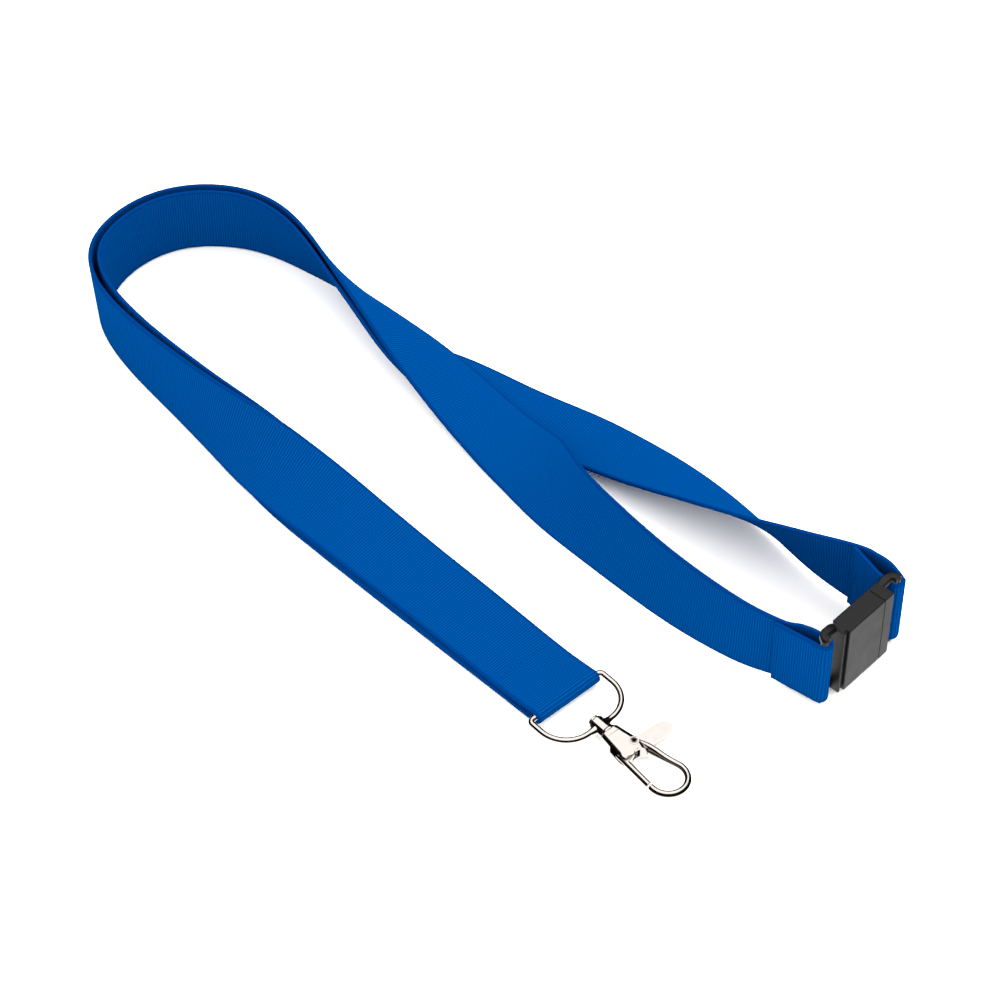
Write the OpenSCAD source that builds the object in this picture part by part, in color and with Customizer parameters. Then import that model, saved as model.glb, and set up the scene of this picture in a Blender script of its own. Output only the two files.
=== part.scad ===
// Neck lanyard with a breakaway buckle and a swivel trigger hook.
// Lies as it is put down: two layers of webbing side by side round a bend, then a twist each.
// X runs from the bend to the hook, Z is up, the resting surface is Z = 0.

/* [Webbing] */
// width of the webbing
strap_w = 20; // [18:0.5:25]
// thickness of the webbing
strap_t = 1.0; // [0.8:0.1:1.2]

/* [Lay] */
// length from the ring bar to the far side of the bend
lay_l = 192; // [160:1:240]
// width of the lay between the ring end and the buckle
lay_w = 78; // [74:1:100]

/* [Ring] */
// wire radius of the D-ring
wire_r = 0.75; // [0.6:0.05:0.9]
// depth of the D-ring from the bar to the front wire
ring_d = 12.2; // [11.8:0.2:15]

/* [Hook] */
// outside radius of the hook loop
loop_r = 5.4; // [5.2:0.1:6.4]
// thickness of the hook loop along its flat side
loop_wall = 1.5; // [1.3:0.1:1.8]
// length of the thumb tab beyond the pivot
tab_l = 11.5; // [9:0.5:14]
// radius of the pivot pin
pin_r = 0.8; // [0.6:0.05:0.9]

/* [Buckle] */
// length of the female housing
housing_l = 15; // [13:0.5:20]
// thickness of the buckle
buckle_t = 5.4; // [4.8:0.2:7]
// radius of the bars that hold the webbing
bar_r = 1.0; // [0.8:0.1:1.2]

/* [Hidden] */
$fn = 48;

strap_blue = [0.0, 0.33, 0.68];
thread_blue = [0.0, 0.3, 0.62];
plastic_black = [0.07, 0.07, 0.08];
nickel = [0.78, 0.77, 0.74];
spring_steel = [0.55, 0.56, 0.58];

wrap_gap = 0.1;        // webbing to the bar it turns round
layer_gap = 0.1;       // half the gap between two flat layers
steps = 6;             // spline steps between two route points
thread_r = 0.2;
thread_clear = 0.02;

// where the lay sits about the origin
shift_x = 15.8;
shift_y = 1.59;
kx = lay_l / 192;
ky = lay_w / 78;
ring_x = 60 + shift_x;
function lay_x(x) = ring_x - (60 - x) * kx;
function lay_y(y) = y * ky + shift_y;
hook_y = lay_y(-33);

// ring fold
flat_g = strap_t / 2 + layer_gap;
fold_g = wire_r + wrap_gap + strap_t / 2;
ring_lift = 0.75;
ring_z = strap_t / 2 + fold_g + ring_lift;

// buckle
slot_gap = 0.4;        // webbing edge to the bracket arm
arm_t = 1.3;           // bracket arm thickness
buckle_h = strap_w + 2 * (slot_gap + arm_t);
box_inset = 0.9;       // box top below the bracket top
box_h = buckle_h - 2 * box_inset;
flange_l = 3.4;
box_l = housing_l + flange_l;
seam_gap = 0.05;
bar_off = 4.4;         // bar centre beyond the box end
buckle_yaw = 5;
buckle_x = lay_x(99.2);
buckle_y = lay_y(26.4);
near_off = -(box_l / 2 + bar_off);
far_off = box_l / 2 + bar_off;
near_bar = [buckle_x - near_off * sin(buckle_yaw), buckle_y + near_off * cos(buckle_yaw)];
far_bar = [buckle_x - far_off * sin(buckle_yaw), buckle_y + far_off * cos(buckle_yaw)];
loop_lift = slot_gap + arm_t;
wrap_r = bar_r + wrap_gap + strap_t / 2;
lap = strap_t + 0.3;

// Route points: [x, y, height of the lower edge, roll, half gap to the other layer].
// Roll 180 is flat with the outer face up, 90 is on edge.
pair = [
    [lay_x(60), hook_y, ring_lift, 180, fold_g],
    [lay_x(53), hook_y, 0.5, 180, flat_g + 0.35],
    [lay_x(45.5), hook_y, 0.5, 180, flat_g],
    [lay_x(30.5), lay_y(-33.3), 0.2, 178, flat_g],
    [lay_x(12), lay_y(-34), 0.15, 176, flat_g],
    [lay_x(-6), lay_y(-35), 0.15, 172, flat_g],
    [lay_x(-22), lay_y(-36.1), 0.2, 164, flat_g],
    [lay_x(-36), lay_y(-37.8), 0.2, 150, flat_g],
    [lay_x(-48), lay_y(-39.5), 0.2, 130, flat_g + 0.1],
    [lay_x(-62), lay_y(-40.5), 0.2, 110, flat_g + 0.3],
    [lay_x(-82), lay_y(-40.5), 0.2, 97, flat_g + 0.4],
    [lay_x(-106.5), lay_y(-39.3), 0.2, 90, flat_g + 0.6],
    [lay_x(-125), lay_y(-32.4), 0.2, 86, flat_g + 0.7],
    [lay_x(-132), lay_y(-16.3), 0.2, 88, flat_g + 0.7],
    [lay_x(-129), lay_y(0.5), 0.2, 90, flat_g + 0.7],
    [lay_x(-115.5), lay_y(13.3), 0.2, 91, flat_g + 0.6],
    [lay_x(-98.6), lay_y(16.7), 0.2, 101, flat_g + 0.4],
    [lay_x(-80.8), lay_y(16.6), 0.2, 122, flat_g + 0.3],
    [lay_x(-64), lay_y(16), 0.2, 139, flat_g + 0.2],
    [lay_x(-49), lay_y(15.4), 0.2, 156, flat_g + 0.2]];
outer_tail = [
    [lay_x(-30), lay_y(14.2), 0.3, 171, flat_g + 0.2],
    [lay_x(-11), lay_y(13), 0.3, 185, flat_g],
    [lay_x(2), lay_y(10.5), 0.3, 209, 0.4],
    [lay_x(15), lay_y(6.5), 0.4, 235, 0.2],
    [lay_x(36.5), lay_y(4.9), 0.6, 249, 0],
    [lay_x(58.5), lay_y(4.8), 1.0, 257, 0],
    [lay_x(77.5), lay_y(6.8), loop_lift - 0.2, 264, 0]];
near_loop = [
    [near_bar[0] - 11.6, near_bar[1] - 2.6, loop_lift, 270, 0],
    [near_bar[0] - 7.6, near_bar[1] - 0.2, loop_lift, 270, 0],
    [near_bar[0] - 4, near_bar[1] + 1.2, loop_lift, 270, 0],
    for (a = [90 : -36 : -90])
        [near_bar[0] + wrap_r * cos(a), near_bar[1] + wrap_r * sin(a), loop_lift, 270, 0],
    [near_bar[0] - 4, near_bar[1] - 2.4, loop_lift, 270, 0],
    [near_bar[0] - 7.6, near_bar[1] - 3.2, loop_lift, 270, 0],
    [near_bar[0] - 11.3, near_bar[1] - 2.6 - lap, loop_lift, 270, 0],
    [near_bar[0] - 12.1, near_bar[1] - 2.9 - lap, loop_lift, 270, 0]];
inner_tail = [
    [lay_x(-37), lay_y(19.2), 0.2, 176, flat_g + 0.2],
    [lay_x(-19.5), lay_y(22.9), 0.2, 181, flat_g],
    [lay_x(-2.4), lay_y(28.8), 0.2, 175, 0.3],
    [lay_x(15.3), lay_y(32.6), 0.3, 168, 0],
    [lay_x(33.5), lay_y(35.2), 0.5, 153, 0],
    [lay_x(52.6), lay_y(36.1), 1.0, 132, 0],
    [lay_x(70.4), lay_y(37.9), loop_lift - 0.25, 108, 0]];
far_loop = [
    [lay_x(71), lay_y(38), loop_lift - 0.2, 107, 0],
    [far_bar[0] - 13.6, far_bar[1] + 1.3, loop_lift, 91, 0],
    [far_bar[0] - 9, far_bar[1] + 2.5, loop_lift, 90, 0],
    [far_bar[0] - 4.6, far_bar[1] + 2.8, loop_lift, 90, 0],
    for (a = [66 : -26 : -90])
        [far_bar[0] + wrap_r * cos(a), far_bar[1] + wrap_r * sin(a), loop_lift, 90, 0],
    [far_bar[0] - 4.6, far_bar[1] - 1.6, loop_lift, 90, 0],
    [far_bar[0] - 9, far_bar[1] - 0.8, loop_lift, 90, 0],
    [far_bar[0] - 13.4, far_bar[1] + 1.3 - lap, loop_lift, 90, 0],
    [far_bar[0] - 14.2, far_bar[1] + 1.1 - lap, loop_lift, 90, 0]];

outer_route = concat(pair, outer_tail, near_loop);
inner_route = concat(pair, inner_tail, far_loop);
front_end = 10;
bend_end = 17;
outer_split = len(pair) + len(outer_tail);
inner_split = len(pair) + len(inner_tail);

function spline(a, b, c, d, t) = 0.5 * (2 * b + (c - a) * t
    + (2 * a - 5 * b + 4 * c - d) * t * t + (3 * b - a - 3 * c + d) * t * t * t);
function refine(r) = [for (i = [0 : len(r) - 2]) for (j = [0 : steps - 1])
    spline(r[max(i - 1, 0)], r[i], r[i + 1], r[min(i + 2, len(r) - 1)], j / steps),
    r[len(r) - 1]];
function along(s, i) = let (d = s[min(i + 1, len(s) - 1)] - s[max(i - 1, 0)],
    h = [d[0], d[1], 0]) h / norm(h);
// frame of one cross section: [centre, across the width, out of the face]
function section(s, i, side) = let (q = s[i], t = along(s, i), h = cross([0, 0, 1], t),
    w = cos(q[3]) * h + sin(q[3]) * [0, 0, 1], n = cross(w, t),
    z = strap_w / 2 * abs(sin(q[3])) + (strap_t / 2 + q[4]) * abs(cos(q[3])) + q[2])
    [[q[0], q[1], z] + side * q[4] * n, w, n];
function sections(r, side) = let (s = refine(r)) [for (i = [0 : len(s) - 1]) section(s, i, side)];
outer_sections = sections(outer_route, 1);
inner_sections = sections(inner_route, -1);

// Webbing between two route points.
module webbing(all, from, to) {
    first = from * steps;
    last = to * steps;
    count = last - first + 1;
    verts = [for (i = [first : last]) for (c = [[1, 1], [-1, 1], [-1, -1], [1, -1]])
        all[i][0] + c[0] * strap_w / 2 * all[i][1] + c[1] * strap_t / 2 * all[i][2]];
    sides = [for (i = [0 : count - 2]) for (k = [0 : 3]) let (a = 4 * i + k, b = 4 * i + (k + 1) % 4)
        each [[a, b, b + 4], [a, b + 4, a + 4]]];
    e = 4 * (count - 1);
    polyhedron(points = verts, faces = concat([[3, 2, 1, 0]], sides, [[e, e + 1, e + 2, e + 3]]));
}

// A row of stitches across the webbing, lying on one face.
module stitch_row(s, face, count, pitch, stitch_l) {
    lift = strap_t / 2 + thread_r + thread_clear;
    for (i = [0 : count - 1]) {
        v = (i - (count - 1) / 2) * pitch;
        start = s[0] + face * lift * s[2] + (v - stitch_l / 2) * s[1];
        multmatrix([[s[2][0], s[1][1] * s[2][2] - s[1][2] * s[2][1], s[1][0], start[0]],
                [s[2][1], s[1][2] * s[2][0] - s[1][0] * s[2][2], s[1][1], start[1]],
                [s[2][2], s[1][0] * s[2][1] - s[1][1] * s[2][0], s[1][2], start[2]]])
            cylinder(r = thread_r, h = stitch_l, $fn = 16);
    }
}

module strap_outer_front() color(strap_blue) webbing(outer_sections, 0, front_end);
module strap_outer_bend() color(strap_blue) webbing(outer_sections, front_end, bend_end);
module strap_outer_tail() color(strap_blue) webbing(outer_sections, bend_end, outer_split);
module strap_inner_front() color(strap_blue) webbing(inner_sections, 0, front_end);
module strap_inner_bend() color(strap_blue) webbing(inner_sections, front_end, bend_end);
module strap_inner_tail() color(strap_blue) webbing(inner_sections, bend_end, inner_split - 1);
module strap_near_loop() color(strap_blue)
    webbing(outer_sections, outer_split, len(outer_route) - 1);
module strap_far_loop() color(strap_blue)
    webbing(inner_sections, inner_split, len(inner_route) - 1);

// Half round of webbing over the ring bar.
module strap_ring_fold() color(strap_blue)
    translate([ring_x, hook_y + strap_w / 2, ring_z]) rotate([90, 0, 0])
        linear_extrude(strap_w) difference() {
            circle(r = fold_g + strap_t / 2);
            circle(r = fold_g - strap_t / 2);
            translate([-10, -5]) square([10, 10]);
        }

// Rows through both layers, seen on the top and under face.
ring_row = 2 * steps;
module ring_stitches() color(thread_blue) {
    stitch_row(outer_sections[ring_row], 1, 7, strap_w * 0.11, 1.5);
    stitch_row(inner_sections[ring_row], -1, 7, strap_w * 0.11, 1.5);
}

// Rows that close the loop at the housing.
near_main = outer_split * steps;
near_back = (len(outer_route) - 2) * steps;
module near_stitches() color(thread_blue) {
    stitch_row(outer_sections[near_main], -1, 8, strap_w * 0.11, 1.5);
    stitch_row(outer_sections[near_back], -1, 8, strap_w * 0.11, 1.5);
}

// Rows that close the loop at the insert.
far_main = (inner_split + 1) * steps;
far_back = (len(inner_route) - 2) * steps;
module far_stitches() color(thread_blue) {
    stitch_row(inner_sections[far_main], 1, 8, strap_w * 0.11, 1.5);
    stitch_row(inner_sections[far_back], 1, 8, strap_w * 0.11, 1.5);
}

// Buckle pieces are drawn along Y and turned into place.
wall = 1.1;
cavity_h = box_h - 2.6;
tongue_t = buckle_t - 2 * wall - 0.3;
tongue_h = cavity_h - 0.8;
housing_y0 = -box_l / 2;
housing_y1 = housing_y0 + housing_l;
cavity_y0 = housing_y0 + 1.6;
tongue_y0 = cavity_y0 + 1;
arm_w = 2.6;
module place_buckle() translate([buckle_x, buckle_y, 0]) rotate([0, 0, buckle_yaw]) children();
module block(x, y0, y1, z0, z1) translate([-x / 2, y0, z0]) cube([x, y1 - y0, z1 - z0]);

// Two arms and the bar between them, at the end y = off of a box that ends at y = edge.
module bracket(off, edge) {
    y0 = min(off, edge);
    y1 = max(off, edge);
    for (z = [0, buckle_h - arm_t]) {
        block(arm_w, y0, y1, z, z + arm_t);
        translate([0, off, z]) cylinder(r = arm_w / 2, h = arm_t);
    }
    translate([0, off, 0]) cylinder(r = bar_r, h = buckle_h);
}

module buckle_housing() color(plastic_black) place_buckle() {
    difference() {
        block(buckle_t, housing_y0, housing_y1, box_inset, box_inset + box_h);
        block(buckle_t - 2 * wall, cavity_y0, housing_y1 + 1, (buckle_h - cavity_h) / 2,
            (buckle_h + cavity_h) / 2);
    }
    bracket(near_off, housing_y0 + 1.5);
}

module buckle_insert() color(plastic_black) place_buckle() {
    block(buckle_t, housing_y1 + seam_gap, box_l / 2, box_inset, box_inset + box_h);
    difference() {
        block(tongue_t, tongue_y0, housing_y1 + 0.5, (buckle_h - tongue_h) / 2,
            (buckle_h + tongue_h) / 2);
        for (s = [-1, 1])
            block(tongue_t + 1, tongue_y0 - 1, housing_y1 - 2.5, buckle_h / 2 + s * 4 - 0.5,
                buckle_h / 2 + s * 4 + 0.5);
    }
    bracket(far_off, box_l / 2 - 1.5);
}

// Ring and hook pieces are drawn from the bar along X.
module place_ring() translate([ring_x, hook_y, ring_z]) children();
ring_half = strap_w / 2 + 1.6;
corner_r = 1.2;
shoulder_r = 8;
flat_half = ring_half - shoulder_r;
side_end = ring_d - shoulder_r;
boss_r = 2;
boss_back = ring_d - 0.8;
boss_l = 3.4;
post_r = 0.9;
post_clear = 0.05;
head_r = 1.5;
head_t = 0.8;
play = 0.1;            // end play of the swivel

module wire_arc(r, x, y, turn) translate([x, y, 0]) rotate([0, 0, turn])
    rotate_extrude(angle = 90) translate([r, 0]) circle(r = wire_r, $fn = 32);

module wire_along_y(x, y0, y1) translate([x, y0, 0]) rotate([-90, 0, 0])
    cylinder(r = wire_r, h = y1 - y0, $fn = 32);

module wire_along_x(y, x0, x1) translate([x0, y, 0]) rotate([0, 90, 0])
    cylinder(r = wire_r, h = x1 - x0, $fn = 32);

module swivel_eye() color(nickel) place_ring() difference() {
    union() {
        wire_along_y(0, -ring_half + corner_r, ring_half - corner_r);
        wire_arc(corner_r, corner_r, -ring_half + corner_r, 180);
        wire_arc(corner_r, corner_r, ring_half - corner_r, 90);
        wire_along_x(-ring_half, corner_r, side_end);
        wire_along_x(ring_half, corner_r, side_end);
        wire_arc(shoulder_r, side_end, -flat_half, -90);
        wire_arc(shoulder_r, side_end, flat_half, 0);
        wire_along_y(ring_d, -flat_half, flat_half);
        translate([boss_back, 0, 0]) rotate([0, 90, 0]) cylinder(r = boss_r, h = boss_l);
    }
    translate([boss_back - 1, 0, 0]) rotate([0, 90, 0])
        cylinder(r = post_r + post_clear, h = boss_l + 2);
}

collar_x = boss_back + boss_l + 2 * play;
collar_l = 2.6;
seat_l = 1.6;
seat_clear = 0.02;
module swivel_post() color(nickel) place_ring() {
    translate([boss_back - play - head_t, 0, 0]) rotate([0, 90, 0]) cylinder(r = head_r, h = head_t);
    translate([boss_back - play, 0, 0]) rotate([0, 90, 0])
        cylinder(r = post_r, h = collar_x + seat_l - boss_back);
}

// Hook outline, flat in XY about the swivel axis.
body_half = 3.7;
body_x = collar_x + 8;
crown_x = body_x + 11.3;
crown_y = 1;           // the loop bulges to the trigger side
inner_r = loop_r - loop_wall;
throat_r = body_half - loop_wall;
throat_x = body_x + 3.5;
throat_y = crown_y * 3.5 / 11.3;
plate_in = 1.2;        // half the slot between the plates
plate_out = 2.1;
loop_half = 1;
pin_x = body_x - 1;
pin_y = 1.8;
gate_x0 = body_x + 1.6;
gate_clear = 0.25;
gate_r = 12.6;         // reach of the gate's tip from the pivot
hub_r = 1.9;
spine_l = 1.4;

// Two circles joined by their outer tangents; the second sits y to one side.
module egg(x1, r1, x2, r2, y) {
    d = norm([x2 - x1, y]);
    b = acos((r1 - r2) / d);
    translate([x1, 0]) rotate(atan2(y, x2 - x1)) {
        circle(r = r1);
        translate([d, 0]) circle(r = r2);
        polygon([[r1 * cos(b), r1 * sin(b)], [d + r2 * cos(b), r2 * sin(b)],
            [d + r2 * cos(b), -r2 * sin(b)], [r1 * cos(b), -r1 * sin(b)]]);
    }
}
module loop_outline() difference() {
    egg(body_x, body_half, crown_x, loop_r, crown_y);
    translate([0, throat_y]) egg(throat_x, throat_r, crown_x, inner_r, crown_y - throat_y);
}
module neck_outline() polygon([[collar_x + collar_l - 0.4, -boss_r], [body_x, -body_half],
    [body_x, body_half], [collar_x + collar_l - 0.4, boss_r]]);
// The side of the loop that the gate fills, ended by an arc about the pivot.
module gate_zone(clear) intersection() {
    translate([gate_x0 - clear, -loop_r - 2]) square([20, loop_r + 1.6]);
    translate([pin_x, pin_y]) circle(r = gate_r + clear, $fn = 96);
}

module plate_outline() difference() {
    union() {
        neck_outline();
        intersection() {
            loop_outline();
            translate([body_x - 5, -10]) square([10, 20]);
        }
    }
    gate_zone(gate_clear);
}

module hook_body() color(nickel) place_ring() {
    difference() {
        translate([collar_x, 0, 0]) rotate([0, 90, 0]) cylinder(r = boss_r, h = collar_l);
        translate([collar_x - 1, 0, 0]) rotate([0, 90, 0])
            cylinder(r = post_r + seat_clear, h = seat_l + 1.1);
    }
    difference() {
        union() {
            for (s = [-plate_out, plate_in])
                translate([0, 0, s]) linear_extrude(plate_out - plate_in) plate_outline();
            translate([0, 0, -plate_in]) linear_extrude(2 * plate_in) intersection() {
                neck_outline();
                translate([collar_x, -10]) square([collar_l + spine_l, 20]);
            }
        }
        translate([pin_x, pin_y, -5]) cylinder(r = pin_r + seat_clear, h = 10);
        translate([collar_x - 1, 0, 0]) rotate([0, 90, 0])
            cylinder(r = post_r + seat_clear, h = seat_l + 1.1);
    }
    translate([0, 0, -loop_half]) linear_extrude(2 * loop_half) difference() {
        loop_outline();
        translate([body_x - 10, -10]) square([12.2, 20]);
        gate_zone(gate_clear);
    }
    // side wall that joins both plates to the loop
    translate([0, 0, -plate_in]) linear_extrude(2 * plate_in) intersection() {
        loop_outline();
        translate([body_x + 2.2, 0]) square([2.8, 10]);
    }
}

lever_z0 = -0.4;
lever_z1 = 1.1;
gate_half = 0.95;
tab_half = 2;
tab_lean = 6;
run_clear = 0.06;
module trigger_lever() color(nickel) place_ring() difference() {
    union() {
        translate([0, 0, lever_z0]) linear_extrude(lever_z1 - lever_z0) {
            translate([pin_x, pin_y]) circle(r = hub_r);
            translate([pin_x, pin_y]) rotate(-tab_lean) {
                translate([-tab_half, 0]) square([2 * tab_half, tab_l - tab_half]);
                translate([0, tab_l - tab_half]) circle(r = tab_half);
            }
            polygon([[pin_x - 1.5, pin_y - 1.1], [pin_x + 1.5, pin_y + 1.1], [gate_x0 + 1.2, -2.4],
                [gate_x0 + 1.2, -3.4], [gate_x0, -3.4]]);
        }
        translate([0, 0, -gate_half]) linear_extrude(2 * gate_half) intersection() {
            loop_outline();
            gate_zone(0);
        }
    }
    translate([pin_x, pin_y, -5]) cylinder(r = pin_r + run_clear, h = 10);
}

module pivot_pin() color(nickel) place_ring()
    translate([pin_x, pin_y, -plate_out]) cylinder(r = pin_r, h = 2 * plate_out);

coil_r = 1.25;
coil_wire = 0.15;
leg_wire = 0.12;
coil_low = -0.98;
coil_pitch = 0.32;
module torsion_spring() color(spring_steel) place_ring() translate([pin_x, pin_y, coil_low]) {
    for (z = [0, coil_pitch])
        translate([0, 0, z]) rotate_extrude() translate([coil_r, 0]) circle(r = coil_wire, $fn = 24);
    translate([coil_r, 0, 0]) cylinder(r = leg_wire, h = coil_pitch, $fn = 24);
    translate([-coil_r, 0, 0]) rotate([0, -90, 0]) cylinder(r = leg_wire, h = 1.3, $fn = 24);
    translate([0, -coil_r, coil_pitch]) rotate([90, 0, 0]) cylinder(r = leg_wire, h = 0.9, $fn = 24);
}

strap_outer_front();
strap_outer_bend();
strap_outer_tail();
strap_inner_front();
strap_inner_bend();
strap_inner_tail();
strap_ring_fold();
strap_near_loop();
strap_far_loop();
ring_stitches();
near_stitches();
far_stitches();
buckle_housing();
buckle_insert();
swivel_eye();
swivel_post();
hook_body();
trigger_lever();
pivot_pin();
torsion_spring();
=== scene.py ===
import math

import bpy
from mathutils import Matrix, Vector


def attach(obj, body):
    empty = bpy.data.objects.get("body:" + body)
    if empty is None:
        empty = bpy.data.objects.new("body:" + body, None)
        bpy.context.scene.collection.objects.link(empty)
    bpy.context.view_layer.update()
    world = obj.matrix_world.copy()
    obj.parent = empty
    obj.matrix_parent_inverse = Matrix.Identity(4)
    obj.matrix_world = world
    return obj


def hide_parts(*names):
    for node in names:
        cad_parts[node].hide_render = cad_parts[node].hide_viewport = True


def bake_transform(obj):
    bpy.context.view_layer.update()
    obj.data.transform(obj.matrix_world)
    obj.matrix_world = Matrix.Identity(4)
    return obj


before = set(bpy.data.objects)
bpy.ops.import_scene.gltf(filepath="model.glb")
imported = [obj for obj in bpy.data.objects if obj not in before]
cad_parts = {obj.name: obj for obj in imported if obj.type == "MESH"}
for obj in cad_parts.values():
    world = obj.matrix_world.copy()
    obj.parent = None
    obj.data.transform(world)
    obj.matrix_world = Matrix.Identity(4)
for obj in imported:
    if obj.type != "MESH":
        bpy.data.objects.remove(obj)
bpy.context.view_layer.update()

# The viewpoint: a long lens looking down at the lanyard as it lies on a table.
view_turn = math.radians(48)
view_rise = math.radians(47.13)
view_distance = 0.8333
looked_at = Vector((0.0158, 0.0016, 0))
away = Vector((math.sin(view_turn) * math.cos(view_rise),
               -math.cos(view_turn) * math.cos(view_rise),
               math.sin(view_rise)))
bpy.ops.object.camera_add(location=looked_at + away * view_distance,
                          rotation=(math.pi / 2 - view_rise, 0, view_turn))
camera = bpy.context.object
camera.data.sensor_width = 36
camera.data.lens = 117.9
camera.data.clip_start = 0.01
bpy.context.scene.camera = camera


# The webbing: one length of 20 mm ribbed polyester, laid double from the ring, on edge round
# the bend, then twisted one way to the housing and the other way to the insert.
# Route points: x, y, height of the lower edge, roll in degrees, half gap to the other layer.
mm = 0.001
strap_w = 20.0
strap_t = 1.0
wire_r = 0.75
flat_g = strap_t / 2 + 0.1
fold_g = wire_r + 0.1 + strap_t / 2
fold_x = 75.8
fold_lift = 0.75
swivel_y = -31.41
loop_lift = 1.7
bar_r = 1.0
wrap_r = bar_r + 0.1 + strap_t / 2
lap = strap_t + 0.3
buckle_x = 115.0
buckle_y = 27.99
buckle_yaw = math.radians(5)
bar_off = 13.6
near_bar = (buckle_x + bar_off * math.sin(buckle_yaw), buckle_y - bar_off * math.cos(buckle_yaw))
far_bar = (buckle_x - bar_off * math.sin(buckle_yaw), buckle_y + bar_off * math.cos(buckle_yaw))

double_run = [
    (75.8, -31.41, 0.75, 180, fold_g),
    (68.8, -31.41, 0.5, 180, flat_g + 0.35),
    (61.3, -31.41, 0.5, 180, flat_g),
    (46.3, -31.71, 0.2, 178, flat_g),
    (27.8, -32.41, 0.15, 176, flat_g),
    (9.8, -33.41, 0.15, 172, flat_g),
    (-6.2, -34.51, 0.2, 164, flat_g),
    (-20.2, -36.21, 0.2, 150, flat_g),
    (-32.2, -37.91, 0.2, 130, flat_g + 0.1),
    (-46.2, -38.91, 0.2, 110, flat_g + 0.3),
    (-66.2, -38.91, 0.2, 97, flat_g + 0.4),
    (-90.7, -37.71, 0.2, 90, flat_g + 0.6),
    (-109.2, -30.81, 0.2, 86, flat_g + 0.7),
    (-116.2, -14.71, 0.2, 88, flat_g + 0.7),
    (-113.2, 2.09, 0.2, 90, flat_g + 0.7),
    (-99.7, 14.89, 0.2, 91, flat_g + 0.6),
    (-82.8, 18.29, 0.2, 101, flat_g + 0.4),
    (-65.0, 18.19, 0.2, 122, flat_g + 0.3),
    (-48.2, 17.59, 0.2, 139, flat_g + 0.2),
    (-33.2, 16.99, 0.2, 156, flat_g + 0.2)]
outer_run = [
    (-14.2, 15.79, 0.3, 171, flat_g + 0.2),
    (4.8, 14.59, 0.3, 185, flat_g),
    (17.8, 12.09, 0.3, 209, 0.4),
    (30.8, 8.09, 0.4, 235, 0.2),
    (52.3, 6.49, 0.6, 249, 0),
    (74.3, 6.39, 1.0, 257, 0),
    (93.3, 8.39, 1.5, 264, 0)]
inner_run = [
    (-21.2, 20.79, 0.2, 176, flat_g + 0.2),
    (-3.7, 24.49, 0.2, 181, flat_g),
    (13.4, 30.39, 0.2, 175, 0.3),
    (31.1, 34.19, 0.3, 168, 0),
    (49.3, 36.79, 0.5, 153, 0),
    (68.4, 37.69, 1.0, 132, 0),
    (86.2, 39.49, 1.45, 108, 0)]


def round_bar(bar, offsets, roll):
    """Route points at offsets from a buckle bar."""
    return [(bar[0] + x, bar[1] + y, loop_lift, roll, 0) for x, y in offsets]


def wrap(start, stop, count):
    """Offsets that turn round a bar between two angles."""
    angles = [math.radians(start + (stop - start) * i / (count - 1)) for i in range(count)]
    return [(wrap_r * math.cos(a), wrap_r * math.sin(a)) for a in angles]


near_loop = round_bar(near_bar, [(-11.6, -2.6), (-7.6, -0.2), (-4, 1.2)] + wrap(90, -90, 6)
                      + [(-4, -2.4), (-7.6, -3.2), (-11.3, -2.6 - lap), (-12.1, -2.9 - lap)], 270)
far_loop = round_bar(far_bar, [(-13.6, 1.3), (-9, 2.5), (-4.6, 2.8)] + wrap(66, -90, 7)
                     + [(-4.6, -1.6), (-9, -0.8), (-13.4, 1.3 - lap), (-14.2, 1.1 - lap)], 90)


per_point = 24


def smooth_route(points, side):
    """Centre, across and face directions along a route, in per_point steps between its points."""
    rows = []
    for i in range(len(points) - 1):
        quad = [points[min(max(i + k, 0), len(points) - 1)] for k in (-1, 0, 1, 2)]
        for j in range(per_point):
            t = j / per_point
            rows.append([0.5 * (2 * b + (c - a) * t + (2 * a - 5 * b + 4 * c - d) * t * t
                                + (3 * b - a - 3 * c + d) * t ** 3) for a, b, c, d in zip(*quad)])
    rows.append(list(points[-1]))
    frames = []
    for i, (x, y, lift, roll, gap) in enumerate(rows):
        before = rows[max(i - 1, 0)]
        after = rows[min(i + 1, len(rows) - 1)]
        ahead = Vector((after[0] - before[0], after[1] - before[1], 0)).normalized()
        level = Vector((0, 0, 1)).cross(ahead)
        turn = math.radians(roll)
        across = math.cos(turn) * level + Vector((0, 0, math.sin(turn)))
        face = across.cross(ahead)
        z = (strap_w / 2 * abs(math.sin(turn)) + (strap_t / 2 + gap) * abs(math.cos(turn)) + lift)
        frames.append((Vector((x, y, z)) + side * gap * face, across, face))
    return frames


def even(frames, step):
    """The same run at an even spacing of about step, with its length."""
    travelled = [0.0]
    for a, b in zip(frames, frames[1:]):
        travelled.append(travelled[-1] + (b[0] - a[0]).length)
    length = travelled[-1]
    count = round(length / step)
    spaced = []
    i = 0
    for k in range(count + 1):
        s = length * k / count
        while i < len(travelled) - 2 and travelled[i + 1] < s:
            i += 1
        t = (s - travelled[i]) / max(travelled[i + 1] - travelled[i], 1e-9)
        a, b = frames[i], frames[i + 1]
        spaced.append([p.lerp(q, min(max(t, 0), 1)) for p, q in zip(a, b)])
    return spaced, length


def nothing_selected():
    bpy.ops.object.select_all(action="DESELECT")


def only(obj):
    nothing_selected()
    obj.select_set(True)
    bpy.context.view_layer.objects.active = obj


def choose(obj, part, wanted):
    """Opens obj in edit mode with only the wanted faces, edges or vertices selected."""
    only(obj)
    bpy.ops.object.mode_set(mode="EDIT")
    bpy.ops.mesh.select_mode(type=part)
    bpy.ops.mesh.select_all(action="DESELECT")
    bpy.ops.object.mode_set(mode="OBJECT")
    pool = {"FACE": obj.data.polygons, "EDGE": obj.data.edges, "VERT": obj.data.vertices}[part]
    for item in pool:
        if wanted(item):
            item.select = True
    bpy.ops.object.mode_set(mode="EDIT")


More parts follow.
